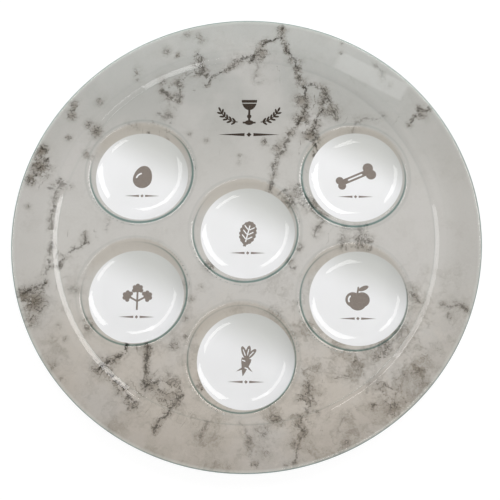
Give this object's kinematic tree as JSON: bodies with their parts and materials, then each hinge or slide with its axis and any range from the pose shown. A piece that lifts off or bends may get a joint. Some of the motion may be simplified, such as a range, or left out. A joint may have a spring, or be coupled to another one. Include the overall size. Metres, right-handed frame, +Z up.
{
  "type": "seder plate",
  "caption": "Round slumped glass plate with a stepped flange and shallow food wells, printed from behind with grey marble, white discs and food symbols.",
  "frame": {"origin": "on the surface the plate stands on, under the middle of the plate", "axes": "+Z up out of the wells, +Y from the middle of the plate to the emblem at its head, +X to the right of a reader who faces the emblem"},
  "size_m": [0.4, 0.4, 0.0188],
  "materials": {
    "clear_glass": "clear, fire-polished tempered glass with a faint green edge",
    "marble_print": "fired print of pale grey marble with brown veins",
    "white_coat": "matt white sealing coat",
    "white_enamel": "fired white enamel",
    "grey_ink": "fired grey-brown ink",
    "dark_ink": "fired dark brown ink"
  },
  "bodies": {
    "root": {"glass_plate": "clear_glass", "marble_print": "marble_print", "backing_coat": "white_coat", "emblem": "dark_ink", "white_disc_haroseth": "white_enamel", "white_disc_shank_bone": "white_enamel", "white_disc_egg": "white_enamel", "white_disc_parsley": "white_enamel", "white_disc_horseradish": "white_enamel", "white_disc_bitter_herbs": "white_enamel", "symbol_haroseth": "grey_ink", "symbol_shank_bone": "grey_ink", "symbol_egg": "grey_ink", "symbol_parsley": "grey_ink", "symbol_horseradish": "grey_ink", "symbol_bitter_herbs": "grey_ink"}
  },
  "joints": []
}
